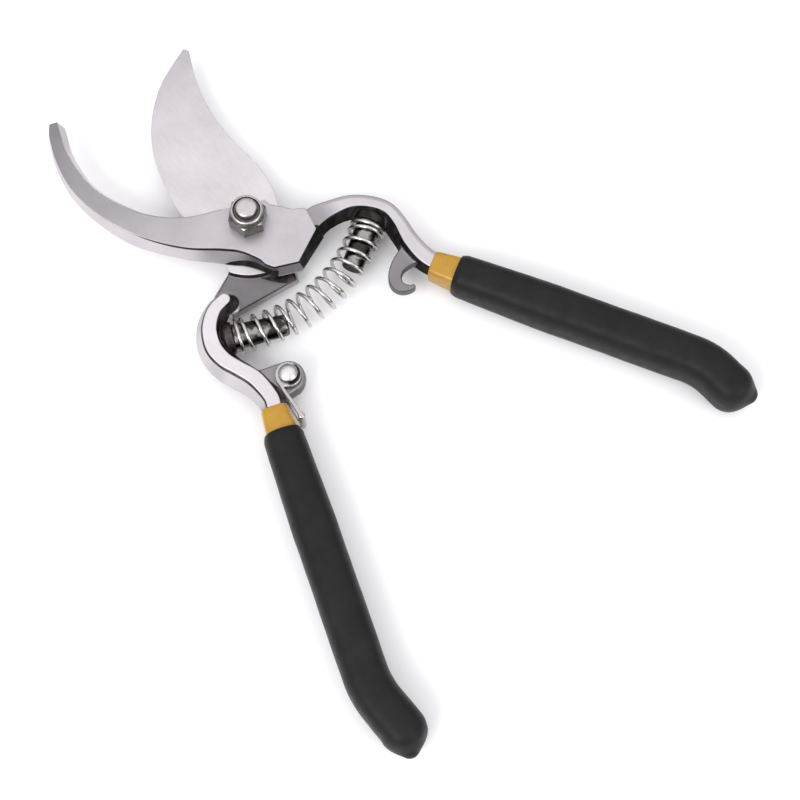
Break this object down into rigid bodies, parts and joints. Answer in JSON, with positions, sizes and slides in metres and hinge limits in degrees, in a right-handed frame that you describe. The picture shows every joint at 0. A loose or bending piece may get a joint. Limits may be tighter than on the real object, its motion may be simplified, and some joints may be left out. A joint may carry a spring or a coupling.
{
  "type": "bypass pruner",
  "caption": "Open bypass pruner with a curved blade and hook, a coil spring on stubs, a bail latch and black grips dipped over a yellow undercoat.",
  "frame": {"origin": "middle of the bolt head's lower face, on the pivot axis, which is also the plane the open pruner lies on", "axes": "+Z along the pivot axis towards the nut, +Y towards the jaws, handles open evenly about -Y, hook arm's handle on +X"},
  "size_m": [0.1461, 0.2066, 0.0207],
  "materials": {
    "hook_steel": "satin nickel-like steel, darker and glossier in the unground hollows",
    "blade_steel": "finely ground satin steel blade, dark grey forged neck",
    "bolt_steel": "bright zinc plate",
    "nut_steel": "bright zinc plate",
    "insert_nylon": "dark nylon",
    "spring_wire": "bright plated wire",
    "latch_steel": "plated sheet steel",
    "rivet_steel": "bright domed rivet",
    "undercoat_vinyl": "smooth mustard yellow dipped vinyl",
    "grip_vinyl": "matte charcoal dipped vinyl with a fine grain"
  },
  "bodies": {
    "hook_side": {"hook_arm": "hook_steel", "pivot_bolt": "bolt_steel", "pivot_nut": "nut_steel", "nut_insert": "insert_nylon", "spring": "spring_wire", "hook_arm_undercoat": "undercoat_vinyl", "hook_arm_grip": "grip_vinyl"},
    "blade_side": {"blade_arm": "blade_steel", "latch_rivet": "rivet_steel", "blade_arm_undercoat": "undercoat_vinyl", "blade_arm_grip": "grip_vinyl"},
    "bail": {"latch_bail": "latch_steel"}
  },
  "joints": [
    {"name": "pivot", "type": "hinge", "parent": "hook_side", "child": "blade_side", "pos_m": [0, 0, 0.0075], "axis": [0, 0, 1], "range_deg": [0, 42], "stiffness_Nm_per_rad": 1, "springref_deg": -22.92, "deforming": ["spring"]},
    {"name": "latch_swing", "type": "hinge", "parent": "blade_side", "child": "bail", "pos_m": [-0.0239, -0.0426, 0.0075], "axis": [0, 0, 1], "range_deg": [0, 89]}
  ]
}
